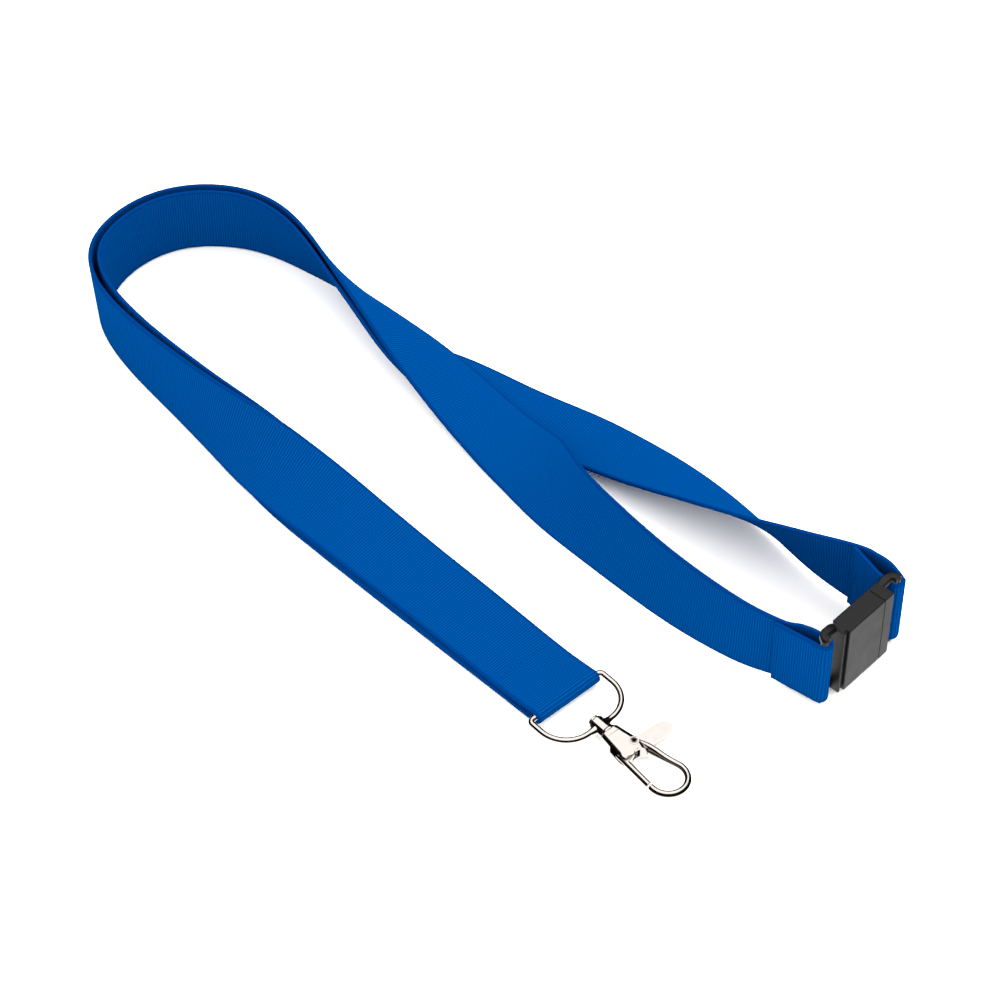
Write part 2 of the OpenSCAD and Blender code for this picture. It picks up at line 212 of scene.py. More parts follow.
def finish_with(obj, kind, **settings):
    """Adds a modifier to obj and applies it."""
    only(obj)
    mod = obj.modifiers.new(kind.title(), kind)
    for key, value in settings.items():
        setattr(mod, key, value)
    bpy.ops.object.modifier_apply(modifier=mod.name)


def lay_webbing(name, frames):
    """A flat cut of webbing laid along frames. Its UV map holds millimetres along and across."""
    spaced, length = even(frames, 0.5)
    nothing_selected()
    bpy.ops.mesh.primitive_grid_add(x_subdivisions=len(spaced) - 1, y_subdivisions=10, size=1)
    strap = bpy.context.object
    strap.name = name
    mesh = strap.data
    last = len(spaced) - 1
    for loop in mesh.loops:
        flat = mesh.vertices[loop.vertex_index].co
        mesh.uv_layers.active.data[loop.index].uv = ((flat.x + 0.5) * length, flat.y * strap_w)
    count = len(mesh.vertices)
    row = [round((v.co.x + 0.5) * last) for v in mesh.vertices]
    selvage_side = [(v.co.y > 0.49) - (v.co.y < -0.49) for v in mesh.vertices]
    for vertex in mesh.vertices:
        i = row[vertex.index]
        centre, across, face = spaced[i]
        # the selvages are never quite straight
        waver = 0.04 * math.sin(i * 0.13) + 0.05 * math.sin(i * 0.047 + 2)
        width = strap_w + waver * abs(vertex.co.y * 2) ** 8
        vertex.co = (centre + across * vertex.co.y * width) * mm
    finish_with(strap, "SOLIDIFY", thickness=strap_t * mm, offset=0, use_even_offset=True)

    def long_edge(edge):
        p, q = (v % count for v in edge.vertices)
        return selvage_side[p] and selvage_side[p] == selvage_side[q] and row[p] != row[q]

    choose(strap, "EDGE", long_edge)
    bpy.ops.mesh.bevel(offset=0.3 * mm, segments=3, affect="EDGES")
    bpy.ops.mesh.select_all(action="SELECT")
    bpy.ops.mesh.normals_make_consistent(inside=False)
    bpy.ops.object.mode_set(mode="OBJECT")
    bpy.ops.object.shade_smooth()
    return strap, length


def relax(frames, first, last, reach=13):
    """Evens out bends and twist between two places, as stiff webbing does."""
    eased = list(frames)
    for i in range(first, last):
        near = frames[i - reach:i + reach + 1]
        centre, across, face = (sum((f[k] for f in near), Vector()) / len(near) for k in range(3))
        across.normalize()
        eased[i] = (centre, across, (face - face.dot(across) * across).normalized())
    return eased


outer = relax(smooth_route(double_run + outer_run + near_loop, 1), 40, 24 * per_point)
inner = relax(smooth_route(double_run + inner_run + far_loop, -1), 40, 25 * per_point)
# the under layer has slipped sideways along the front run
slip_most = 1.1
slip_end = 9 * per_point
for i in range(slip_end):
    centre, across, face = inner[i]
    slip = slip_most * math.sin(math.pi * i / slip_end) ** 1.3
    inner[i] = (centre - across * slip, across, face)
fold_z = fold_g + strap_t / 2 + fold_lift
fold_steps = 24
fold = []
for i in range(1, fold_steps):
    a = math.radians(90 - 180 * i / fold_steps)
    radial = Vector((math.cos(a), 0, math.sin(a)))
    fold.append((Vector((fold_x, swivel_y, fold_z)) + fold_g * radial, Vector((0, 1, 0)), radial))
# the two cuts of the inner layer butt together under the flat front run
hidden_join = 6 * per_point
main_frames = outer[::-1] + fold + [(c, w, -n) for c, w, n in inner[:hidden_join + 1]]
far_frames = [(c, w, -n) for c, w, n in inner[hidden_join:]]
strap_main, main_length = lay_webbing("webbing_main", main_frames)
strap_far, far_length = lay_webbing("webbing_to_insert", far_frames)


def linear(code):
    """sRGB hex to the linear colour that the shader takes."""
    parts = [int(code[i:i + 2], 16) / 255 for i in (1, 3, 5)]
    return tuple(p / 12.92 if p <= 0.04045 else ((p + 0.055) / 1.055) ** 2.4 for p in parts) + (1,)


def new_material(name):
    mat = bpy.data.materials.new(name)
    mat.use_nodes = True
    return mat, mat.node_tree.nodes["Principled BSDF"]


def node(mat, kind, settings=None, values=None, links=None):
    """Adds one node; values and links are by input name or number, a link being (node, output)."""
    made = mat.node_tree.nodes.new(kind)
    for key, value in (settings or {}).items():
        setattr(made, key, value)
    for key, value in (values or {}).items():
        made.inputs[key].default_value = value
    for key, (other, output) in (links or {}).items():
        mat.node_tree.links.new(other.outputs[output], made.inputs[key])
    return made


# Grosgrain polyester: dyed blue, woven with a heavy weft that stands as ribs across the width
# and a fine warp along it. The eye sees fine ribs, a quite matt cloth and plain dark selvages.
rib_pitch = 0.7
warp_pitch = 0.36
webbing, cloth = new_material("blue_grosgrain_polyester")
uv_mm = node(webbing, "ShaderNodeUVMap", {"uv_map": "UVMap"})
uv_xy = node(webbing, "ShaderNodeSeparateXYZ", links={0: (uv_mm, "UV")})
wobble = node(webbing, "ShaderNodeTexNoise", values={"Scale": 0.35, "Detail": 2},
              links={"Vector": (uv_mm, "UV")})
drift = node(webbing, "ShaderNodeMath", {"operation": "MULTIPLY_ADD"}, {1: 0.5, 2: -0.25},
             {0: (wobble, "Fac")})
along = node(webbing, "ShaderNodeMath", {"operation": "ADD"},
             links={0: (uv_xy, "X"), 1: (drift, 0)})
rib_turn = node(webbing, "ShaderNodeMath", {"operation": "MULTIPLY"},
                {1: 2 * math.pi / rib_pitch}, {0: (along, 0)})
rib_wave = node(webbing, "ShaderNodeMath", {"operation": "SINE"}, links={0: (rib_turn, 0)})
rib = node(webbing, "ShaderNodeMapRange", values={"From Min": -1, "From Max": 1},
           links={"Value": (rib_wave, 0)})
warp_turn = node(webbing, "ShaderNodeMath", {"operation": "MULTIPLY"},
                 {1: 2 * math.pi / warp_pitch}, {0: (uv_xy, "Y")})
warp_wave = node(webbing, "ShaderNodeMath", {"operation": "SINE"}, links={0: (warp_turn, 0)})
fibre = node(webbing, "ShaderNodeTexNoise", values={"Scale": 3.2, "Detail": 3, "Roughness": 0.7},
             links={"Vector": (uv_mm, "UV")})
relief_a = node(webbing, "ShaderNodeMath", {"operation": "MULTIPLY_ADD"}, {1: 0.09},
                {0: (warp_wave, 0), 2: (rib, "Result")})
relief = node(webbing, "ShaderNodeMath", {"operation": "MULTIPLY_ADD"}, {1: 0.35},
              {0: (fibre, "Fac"), 2: (relief_a, 0)})
side = node(webbing, "ShaderNodeMath", {"operation": "ABSOLUTE"}, links={0: (uv_xy, "Y")})
selvage = node(webbing, "ShaderNodeMapRange",
               values={"From Min": strap_w / 2 - 0.9, "From Max": strap_w / 2 - 0.5},
               links={"Value": (side, 0)})
# Rib crests are coloured lighter and the grooves between them darker: painted shade in the grooves,
# laid over the bump.
rib_tone_and_shade = node(webbing, "ShaderNodeMix", {"data_type": "RGBA"},
            {"A": linear("#002a59"), "B": linear("#003b78")}, {"Factor": (rib, "Result")})
mottle = node(webbing, "ShaderNodeMapRange", values={"To Min": 0.86, "To Max": 1.12},
              links={"Value": (fibre, "Fac")})
shade = node(webbing, "ShaderNodeHueSaturation", links={"Value": (mottle, "Result"),
                                                        "Color": (rib_tone_and_shade, "Result")})
edge_tone = node(webbing, "ShaderNodeMix", {"data_type": "RGBA"}, {"B": linear("#002a60")},
                 {"Factor": (selvage, "Result"), "A": (shade, "Color")})
weave = node(webbing, "ShaderNodeBump", values={"Strength": 0.6, "Distance": 0.00012},
             links={"Height": (relief, 0)})
webbing.node_tree.links.new(edge_tone.outputs["Result"], cloth.inputs["Base Color"])
webbing.node_tree.links.new(weave.outputs["Normal"], cloth.inputs["Normal"])
cloth.inputs["Roughness"].default_value = 0.82
cloth.inputs["Specular IOR Level"].default_value = 0.0

for strap in (strap_main, strap_far):
    strap.data.materials.append(webbing)
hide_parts("strap_outer_front", "strap_outer_bend", "strap_outer_tail",
            "strap_near_loop", "strap_ring_fold", "strap_inner_front", "strap_inner_bend")
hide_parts("strap_inner_tail", "strap_far_loop")
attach(strap_main, "strap")
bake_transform(strap_far)


# The seams: bonded polyester thread of the webbing's own blue. One row holds the two layers
# together above the ring, and two rows, face and back, close the loop at each half of the buckle.
thread_r = 0.2
stitch_l = 1.5
stitch_pitch = 2.1
stitch_rise = 0.04


def smooth_over(obj):
    """Smooth shading that keeps broad flats flat."""
    only(obj)
    bpy.ops.object.shade_smooth_by_angle(angle=math.radians(35))
    finish_with(obj, "WEIGHTED_NORMAL", weight=100, keep_sharp=True)


def one_piece(name, parts):
    """Joins parts into one object called name."""
    nothing_selected()
    for part in parts:
        part.select_set(True)
    bpy.context.view_layer.objects.active = parts[0]
    if len(parts) > 1:
        bpy.ops.object.join()
    whole = bpy.context.object
    whole.name = name
    whole.data.name = name
    return whole


def seam_rows(name, rows, count):
    """Rows of stitches; each row is a section of the webbing and the face that it lies on."""
    stitches = []
    nothing_selected()
    bpy.ops.mesh.primitive_uv_sphere_add(segments=10, ring_count=8, radius=1)
    pattern = bpy.context.object
    for (centre, across, face), side in rows:
        ahead = across.cross(face)
        for i in range(count):
            v = (i - (count - 1) / 2) * stitch_pitch
            stitch = pattern.copy()
            stitch.data = pattern.data.copy()
            bpy.context.collection.objects.link(stitch)
            middle = centre + across * v + face * side * (strap_t / 2 + stitch_rise)
            turn = Matrix((ahead, across, face)).transposed().to_4x4()
            shape = Matrix.Diagonal((thread_r * 1.1, stitch_l / 2, thread_r, 1))
            stitch.data.transform(Matrix.Scale(mm, 4) @ Matrix.Translation(middle) @ turn @ shape)
            stitches.append(stitch)
    bpy.data.objects.remove(pattern)
    seam = one_piece(name, stitches)
    bpy.ops.object.shade_smooth()
    return seam


ring_seam = 2 * per_point
near_seam = per_point * (len(double_run) + len(outer_run))
far_seam = per_point * (len(double_run) + len(inner_run))
flap_seam = -per_point - 1
seams = [
    (seam_rows("ring_seam", [(outer[ring_seam], 1), (inner[ring_seam], -1)], 8),
     "ring_stitches", "strap"),
    (seam_rows("near_seam", [(outer[near_seam], -1), (outer[flap_seam], -1)], 9),
     "near_stitches", "strap"),
    (seam_rows("far_seam", [(inner[far_seam], 1), (inner[flap_seam], 1)], 9),
     "far_stitches", "insert")]

# Bonded polyester thread: a fine twist, matt, close to the webbing's own blue. The twist is
# coloured darker in the grooves between the plies: painted shade, laid over the bump.
thread, thread_shader = new_material("twisted_polyester_thread")
thread_place = node(thread, "ShaderNodeTexCoord")
thread_twist = node(thread, "ShaderNodeTexWave", {"bands_direction": "DIAGONAL"},
                    {"Scale": 900, "Distortion": 1.5}, {"Vector": (thread_place, "Object")})
thread_twist_shade_tone = node(thread, "ShaderNodeMix", {"data_type": "RGBA"},
                   {"A": linear("#002a60"), "B": linear("#004183")},
                   {"Factor": (thread_twist, "Fac")})
thread_bump = node(thread, "ShaderNodeBump", values={"Strength": 0.4, "Distance": 0.00005},
                   links={"Height": (thread_twist, "Fac")})
thread.node_tree.links.new(thread_twist_shade_tone.outputs["Result"], thread_shader.inputs["Base Color"])
thread.node_tree.links.new(thread_bump.outputs["Normal"], thread_shader.inputs["Normal"])
thread_shader.inputs["Roughness"].default_value = 0.6
thread_shader.inputs["Specular IOR Level"].default_value = 0
for seam, stood_for, body in seams:
    seam.data.materials.append(thread)
    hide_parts(stood_for)
    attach(seam, body)


# The buckle housing: one black moulding, a flat box open at its far end, with a relief slot down
# the near edge of each broad face. Two curled arms carry the bar that the webbing wraps.
# Buckle pieces are modelled in millimetres with Y along the strap, then turned into place.
buckle_t = 5.4
buckle_h = 23.4
box_low = 0.9
box_high = 22.5
housing_start = -9.2
housing_end = 5.8
box_end = 9.2
wall = 1.1
end_wall = 1.6
slot_floor = 1.7
step_floor = 2.25


def block(low, high):
    """A solid block between two corners."""
    nothing_selected()
    bpy.ops.mesh.primitive_cube_add(size=1, location=[(p + q) / 2 for p, q in zip(low, high)],
                                    scale=[q - p for p, q in zip(low, high)])
    bpy.ops.object.transform_apply(location=True, rotation=True, scale=True)
    return bpy.context.object


def take_away(obj, *tools):
    for tool in tools:
        finish_with(obj, "BOOLEAN", object=tool, operation="DIFFERENCE", solver="EXACT")
        bpy.data.objects.remove(tool)


def ease_edges(obj, width, segments=3, angle=35):
    """Rounds every sharp edge."""
    finish_with(obj, "BEVEL", width=width, segments=segments, limit_method="ANGLE",
                angle_limit=math.radians(angle), use_clamp_overlap=True, harden_normals=False)


def tube_start(place, width, height, turn, corner=0.0):
    """An open outline facing along turned X, ready to extrude: a rounded oblong, or an oval."""
    nothing_selected()
    if corner:
        bpy.ops.mesh.primitive_plane_add(size=1, location=place)
    else:
        bpy.ops.mesh.primitive_circle_add(vertices=28, radius=0.5, location=place)
    outline = bpy.context.object
    outline.rotation_euler = (0, math.pi / 2, turn)
    outline.scale = (height, width, 1)
    bpy.ops.object.transform_apply(location=True, rotation=True, scale=True)
    bpy.ops.object.mode_set(mode="EDIT")
    bpy.ops.mesh.select_all(action="SELECT")
    if corner:
        bpy.ops.mesh.bevel(affect="VERTICES", offset=corner, segments=3)
        bpy.ops.mesh.delete(type="ONLY_FACE")
    bpy.ops.mesh.select_mode(type="EDGE")
    bpy.ops.mesh.select_all(action="SELECT")
    return outline


def pull(step):
    bpy.ops.mesh.extrude_region_move(TRANSFORM_OT_translate={"value": step})


def swing(centre, degrees, steps):
    """Spins the open end about an upright axis, clockwise from above when degrees is negative."""
    bpy.ops.mesh.spin(steps=steps, angle=math.radians(abs(degrees)), center=centre,
                      axis=(0, 0, -math.copysign(1, degrees)))


def close_tube():
    """Caps both open ends and turns the faces outwards."""
    bpy.ops.mesh.select_all(action="SELECT")
    bpy.ops.mesh.remove_doubles(threshold=0.0005)
    bpy.ops.mesh.fill_holes(sides=0)
    bpy.ops.mesh.normals_make_consistent(inside=False)
    bpy.ops.object.mode_set(mode="OBJECT")


def rod(start, radius, length, along="Z", rim=0.0, sides=40):
    """A round bar with its first end at start and its rims rounded by rim."""
    axis = {"X": Vector((1, 0, 0)), "Y": Vector((0, 1, 0)), "Z": Vector((0, 0, 1))}[along]
    nothing_selected()
    bpy.ops.mesh.primitive_cylinder_add(vertices=sides, radius=radius, depth=length,
                                        location=Vector(start) + axis * length / 2)
    bar = bpy.context.object
    bar.rotation_euler = axis.to_track_quat("Z", "Y").to_euler()
    bpy.ops.object.transform_apply(location=True, rotation=True, scale=True)
    if rim:
        ease_edges(bar, rim)
    return bar


def bracket(end, way):
    """Two arms that rise out of the block and curl round to their bar at Y = end."""
    arms = []
    for up in (1, -1):
        z = buckle_h / 2 + up * (buckle_h / 2 - 1.05)
        arm = tube_start((-1.4, end - way * 5.4, z - up * 1.1), 2.2, 2.0, way * math.pi / 2,
                         0.5)
        pull((0, way * 1.1, up * 0.75))
        pull((0, way * 1.0, up * 0.3))
        pull((0, way * 1.5, up * 0.05))
        swing((0.1, end - way * 1.8, z), -way * 90, 12)
        pull((0.7, 0, 0))
        close_tube()
        ease_edges(arm, 0.3, angle=60)
        arms.append(arm)
    arms.append(rod((0, end, 0.8), bar_r, buckle_h - 1.6))
    return arms


housing = block((-buckle_t / 2, housing_start, box_low), (buckle_t / 2, housing_end, box_high))
choose(housing, "FACE", lambda f: f.normal.y > 0.9)
bpy.ops.mesh.inset(thickness=wall)
pull((0, end_wall + housing_start - housing_end, 0))
bpy.ops.object.mode_set(mode="OBJECT")
for side_x in (1, -1):
    slot_x = sorted((side_x * slot_floor, side_x * 3.2))
    step_x = sorted((side_x * step_floor, side_x * 3.2))
    take_away(housing, block((slot_x[0], -8.5, 0), (slot_x[1], -7.6, 24)),
              block((step_x[0], -10, 0), (step_x[1], -8.4, 24)))
ease_edges(housing, 0.22)
housing = one_piece("buckle_housing_moulding", [housing] + bracket(-bar_off, -1))


def stand_buckle(obj):
    """Turns a finished buckle piece into its place, in metres."""
    obj.data.transform(Matrix.Scale(mm, 4) @ Matrix.Translation((buckle_x, buckle_y, 0))
                       @ Matrix.Rotation(buckle_yaw, 4, "Z"))
    smooth_over(obj)


stand_buckle(housing)

# Moulded acetal: near black, spark-eroded to a fine satin grain, so that the eye sees soft dark
# grey faces with no clear reflection. The real grain is 0.03 mm; it is drawn at 0.2 mm.
acetal, acetal_shader = new_material("black_moulded_acetal")
acetal_place = node(acetal, "ShaderNodeTexCoord")
grain = node(acetal, "ShaderNodeTexNoise", values={"Scale": 5000, "Detail": 3, "Roughness": 0.6},
             links={"Vector": (acetal_place, "Object")})
handling = node(acetal, "ShaderNodeTexNoise", values={"Scale": 260, "Detail": 4},
                links={"Vector": (acetal_place, "Object")})
acetal_tone = node(acetal, "ShaderNodeMix", {"data_type": "RGBA"},
                   {"A": linear("#070707"), "B": linear("#0c0c0b")}, {"Factor": (handling, "Fac")})
satin = node(acetal, "ShaderNodeMapRange", values={"To Min": 0.36, "To Max": 0.5},
             links={"Value": (handling, "Fac")})
acetal_bump = node(acetal, "ShaderNodeBump", values={"Strength": 0.18, "Distance": 0.00004},
                   links={"Height": (grain, "Fac")})
acetal.node_tree.links.new(acetal_tone.outputs["Result"], acetal_shader.inputs["Base Color"])
acetal.node_tree.links.new(satin.outputs["Result"], acetal_shader.inputs["Roughness"])
acetal.node_tree.links.new(acetal_bump.outputs["Normal"], acetal_shader.inputs["Normal"])
acetal_shader.inputs["IOR"].default_value = 1.48
acetal_shader.inputs["Specular IOR Level"].default_value = 0.24

housing.data.materials.append(acetal)
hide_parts("buckle_housing")
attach(housing, "strap")


# The buckle insert: a second black moulding. Its end block meets the housing at a fine seam, its
# tongue is split into three prongs that click into the housing, and its arms carry the far bar.
tongue = block((-1.45, -6.6, 2.6), (1.45, housing_end + 0.6, 20.8))
take_away(tongue, *[block((-2, -7.6, 11.2 + s * 4), (2, housing_end - 2.5, 12.2 + s * 4))
                    for s in (-1, 1)])
choose(tongue, "FACE", lambda f: f.normal.y < -0.9)
bpy.ops.transform.resize(value=(0.55, 1, 1), center_override=(0, 0, 0))
bpy.ops.object.mode_set(mode="OBJECT")
ease_edges(tongue, 0.2)
cap = block((-buckle_t / 2, housing_end + 0.06, box_low), (buckle_t / 2, box_end, box_high))
ease_edges(cap, 0.2)
insert = one_piece("buckle_insert_moulding", [cap, tongue] + bracket(bar_off, 1))
stand_buckle(insert)
insert.data.materials.append(acetal)
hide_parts("buckle_insert")
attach(insert, "insert")


# The swivel eye: a D-ring of 1.5 mm wire with its two ends flowing into a short barrel that the
# swivel post turns in. Cast in zinc and nickel plated.
# Ring and hook pieces are modelled in millimetres from the middle of the ring's straight bar.
ring_half = 11.6
ring_d = 12.2
corner_r = 1.2
shoulder_r = 8
barrel_x = 10.6
barrel_l = 4.2
barrel_r = 2.0
barrel_bore = 0.95


def stand_hook(obj):
    """Moves a finished ring or hook piece into its place, in metres."""
    obj.data.transform(Matrix.Scale(mm, 4) @ Matrix.Translation((fold_x, swivel_y, fold_z)))
    smooth_over(obj)


nothing_selected()
bpy.ops.mesh.primitive_circle_add(vertices=24, radius=wire_r, rotation=(math.pi / 2, 0, 0))
wire = bpy.context.object
bpy.ops.object.transform_apply(location=True, rotation=True, scale=True)
bpy.ops.object.mode_set(mode="EDIT")
bpy.ops.mesh.select_mode(type="EDGE")
bpy.ops.mesh.select_all(action="SELECT")
pull((0, ring_half - corner_r, 0))
swing((corner_r, ring_half - corner_r, 0), -90, 8)
pull((ring_d - shoulder_r - corner_r, 0, 0))
swing((ring_d - shoulder_r, ring_half - shoulder_r, 0), -90, 20)
flare_y = ring_half - shoulder_r
for step, swell in ((0.7, 1.12), (0.7, 1.18), (0.6, 1.2), (0.6, 1.12)):
    pull((0.1, -step, 0))
    flare_y -= step
    bpy.ops.transform.resize(value=(swell, 1, swell), center_override=(ring_d + 0.4, flare_y, 0))
pull((0, -flare_y, 0))
bpy.ops.object.mode_set(mode="OBJECT")
finish_with(wire, "MIRROR", use_axis=(False, True, False), merge_threshold=0.01)
choose(wire, "FACE", lambda f: True)
bpy.ops.mesh.remove_doubles(threshold=0.001)
bpy.ops.mesh.normals_make_consistent(inside=False)
bpy.ops.object.mode_set(mode="OBJECT")
barrel = rod((barrel_x, 0, 0), barrel_r, barrel_l, "X", 0.35)
for drilled in (barrel, wire):
    take_away(drilled, rod((barrel_x - 1, 0, 0), barrel_bore, barrel_l + 2, "X"))
eye = one_piece("swivel_ring", [wire, barrel])
stand_hook(eye)

# Bright nickel plate over a tumbled casting: nearly a mirror, faintly warm, with soft waves left
# by polishing and hair scratches. The real scratches are 0.02 mm; they are drawn at 0.1 mm.
nickel, nickel_shader = new_material("bright_nickel_plate")
nickel_place = node(nickel, "ShaderNodeTexCoord")
polish = node(nickel, "ShaderNodeTexNoise", values={"Scale": 350, "Detail": 2},
              links={"Vector": (nickel_place, "Object")})
hairs_turn = node(nickel, "ShaderNodeMapping", values={"Scale": (1200, 9000, 4000)},
                  links={"Vector": (nickel_place, "Object")})
hairs = node(nickel, "ShaderNodeTexNoise", values={"Scale": 1, "Detail": 2},
             links={"Vector": (hairs_turn, "Vector")})
nickel_wave = node(nickel, "ShaderNodeMath", {"operation": "MULTIPLY_ADD"}, {1: 0.12},
                   {0: (hairs, "Fac"), 2: (polish, "Fac")})
nickel_bump = node(nickel, "ShaderNodeBump", values={"Strength": 0.12, "Distance": 0.00006},
                   links={"Height": (nickel_wave, 0)})
nickel_gloss = node(nickel, "ShaderNodeMapRange", values={"To Min": 0.07, "To Max": 0.16},
                    links={"Value": (hairs, "Fac")})
nickel_tone = node(nickel, "ShaderNodeMix", {"data_type": "RGBA"},
                   {"A": linear("#a9a39d"), "B": linear("#b2ada8")}, {"Factor": (polish, "Fac")})
nickel.node_tree.links.new(nickel_tone.outputs["Result"], nickel_shader.inputs["Base Color"])
nickel.node_tree.links.new(nickel_gloss.outputs["Result"], nickel_shader.inputs["Roughness"])
nickel.node_tree.links.new(nickel_bump.outputs["Normal"], nickel_shader.inputs["Normal"])
nickel_shader.inputs["Metallic"].default_value = 1


def plate_with_nickel(obj, stood_for, body):
    obj.data.materials.append(nickel)
    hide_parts(stood_for)
    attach(obj, body)


plate_with_nickel(eye, "swivel_eye", "eye")


# The swivel post: a headed rivet. Its domed head sits inside the ring and its shank runs through
# the barrel into the hook, where it is pressed.
rivet_head = rod((barrel_x - 0.9, 0, 0), 1.5, 0.85, "X", 0.3)
shank = rod((barrel_x - 0.1, 0, 0), barrel_bore - 0.05, 6.6, "X")
post = one_piece("swivel_post_rivet", [rivet_head, shank])
stand_hook(post)
plate_with_nickel(post, "swivel_post", "hook")


# The hook: a zinc casting, nickel plated. A round collar takes the post, two cheek plates hold the
# trigger between them, and their far edge runs out into an egg-shaped loop of oval bar.
collar_x = 15.0
body_x = 23.0
cheek_half = 2.1
cheek_r = 3.7
crest_r = 2.5
rim_half = 1.3
neck_half = 2.5
neck_crest = 1.5
slot_half = 1.2
slot_start = 19.0
slot_end = 24.6
pivot = (22.0, 1.8)
pivot_bore = 0.85
# the loop is the outline round two circles, one at its root and one at its crown
root_x = 23.1
root_r = 2.95
crown_ahead = 11.3
crown_side = 1.0
crown_r = 4.8
crown = Vector((root_x + crown_ahead, crown_side, 0))
spread = math.acos((root_r - crown_r) / math.hypot(crown_ahead, crown_side))
tilt = math.atan2(crown_side, crown_ahead)
bar_back = 0.35
gate_gap = 0.7
gate_l = 11.55


def hull(solids):
    """The convex skin over solids."""
    whole = one_piece("hull", solids)
    bpy.ops.object.mode_set(mode="EDIT")
    bpy.ops.mesh.select_all(action="SELECT")
    bpy.ops.mesh.convex_hull()
    bpy.ops.mesh.dissolve_limited(angle_limit=math.radians(1))
    bpy.ops.object.mode_set(mode="OBJECT")
    return whole


def loop_point(side):
    """Where the bar of the loop meets its crown, and the way along the bar, on one side."""
    a = tilt + side * spread
    out = Vector((math.cos(a), math.sin(a), 0))
    return crown + crown_r * out, Vector((abs(out.y), -side * out.x, 0))


cheeks = hull([block((collar_x + 0.2, -neck_half, -rim_half), (collar_x + 0.9, neck_half, rim_half)),
               block((collar_x + 0.2, -neck_crest, -cheek_half),
                     (collar_x + 0.9, neck_crest, cheek_half)),
               rod((body_x, 0, -rim_half), cheek_r, 2 * rim_half),
               rod((body_x, 0, -cheek_half), crest_r, 2 * cheek_half)])
ease_edges(cheeks, 0.5, 4, 15)
take_away(cheeks, block((slot_start, -9, -slot_half), (slot_end, 9, slot_half)),
          hull([rod((26.5, 0.31, -5), 2.2, 10), rod((34.3, 1.0, -5), 3.9, 10)]),
          block((24.35, -9, -5), (40, -0.4, 5)),
          rod((pivot[0], pivot[1], -5), pivot_bore, 10),
          *[block((collar_x + 2.0, -5, z), (collar_x + 2.14, 5, z + 0.2))
            for z in (cheek_half - 0.1, -cheek_half - 0.1)])
ease_edges(cheeks, 0.24, 3, 50)
rims = []
for z in (cheek_half - 0.06, -cheek_half - 0.06):
    rim = rod((pivot[0], pivot[1], z), 1.3, 0.12)
    take_away(rim, rod((pivot[0], pivot[1], -5), pivot_bore, 10))
    ease_edges(rim, 0.04)
    rims.append(rim)

# the loop's bar: deep where it leaves the cheeks, even round the crown; each row is the length of
# one pull and how far the bar's width and height then change
root_at, root_way = loop_point(1)
tip_at, tip_way = loop_point(-1)
bar_angle = math.atan2(root_way.y, root_way.x)
start = root_at - root_way * 11.6
loop_bar = tube_start(start, 1.3, 3.2, bar_angle)
here = start.copy()
swells = ((1.4, 1.35, 1.22), (1.5, 1.17, 1.06), (1.5, 1, 0.98), (1.3, 0.97, 0.9))
thins = ((1.2, 0.95, 0.82), (1.2, 0.95, 0.82), (1.2, 0.95, 0.88), (1.2, 0.97, 0.94))
for step, narrow, thin in swells + thins:
    pull(root_way * step)
    here += root_way * step
    bpy.ops.transform.resize(value=(narrow, narrow, thin), center_override=here)
pull(root_at - here)
swing(crown, -math.degrees(2 * spread), 36)
pull(-tip_way * bar_back)
close_tube()
take_away(loop_bar, block((slot_start, -9, -slot_half), (slot_end, 9, slot_half)))
ease_edges(loop_bar, 0.08, 2, 60)

collar = rod((collar_x, 0, 0), 2.35, 0.7, "X", 0.15)
hook = one_piece("hook_casting", [cheeks, loop_bar, collar] + rims)
stand_hook(hook)
plate_with_nickel(hook, "hook_body", "hook")


# The trigger: one casting with a flat thumb tab, a hub on the pin, and a bar that closes the near
# side of the loop. It turns between the cheeks against the spring.
tab_turn = math.radians(6)
tab_reach = 9.5
tab_end = (pivot[0] + tab_reach * math.sin(tab_turn), pivot[1] + tab_reach * math.cos(tab_turn))
tab = hull([rod((pivot[0], pivot[1], -0.95), 1.9, 1.25),
            rod((tab_end[0], tab_end[1], -1.15), 2.0, 1.2)])
take_away(tab, rod((pivot[0], pivot[1], -5), pivot_bore + 0.01, 10))
ease_edges(tab, 0.42, 4)
nose = hull([rod((pivot[0], pivot[1], -0.4), 1.5, 1.4),
             block((21.8, -3.4, -0.4), (25.2, -2.5, 1.0))])
take_away(nose, rod((pivot[0], pivot[1], -5), pivot_bore + 0.01, 10))
ease_edges(nose, 0.15)
gate_start = tip_at - tip_way * (bar_back + gate_gap + gate_l)
gate = tube_start(gate_start, 1.6, 1.9, math.atan2(tip_way.y, tip_way.x))
pull(tip_way * gate_l)
close_tube()
ease_edges(gate, 0.12, 2, 60)
trigger = one_piece("trigger_casting", [tab, nose, gate])
stand_hook(trigger)
plate_with_nickel(trigger, "trigger_lever", "lever")


# The pivot pin: a hollow rivet set flush in the cheeks, its bore painted black as painted shade
# inside a thin bright rim. The torsion spring round it is drawn steel wire.
pin = rod((pivot[0], pivot[1], -cheek_half - 0.05), 0.84, 2 * cheek_half + 0.1, "Z", 0.08)
choose(pin, "FACE", lambda f: abs(f.normal.z) > 0.9)
bpy.ops.mesh.inset(thickness=0.16, use_individual=True)
bpy.ops.object.mode_set(mode="OBJECT")
for face_z in (1, -1):
    choose(pin, "FACE", lambda f: f.normal.z * face_z > 0.9 and abs(f.center.x - pivot[0]) < 0.01
           and len(f.vertices) > 20 and abs(f.center.z) > 1)
    pull((0, 0, -face_z * 1.5))
    bpy.ops.object.mode_set(mode="OBJECT")
stand_hook(pin)
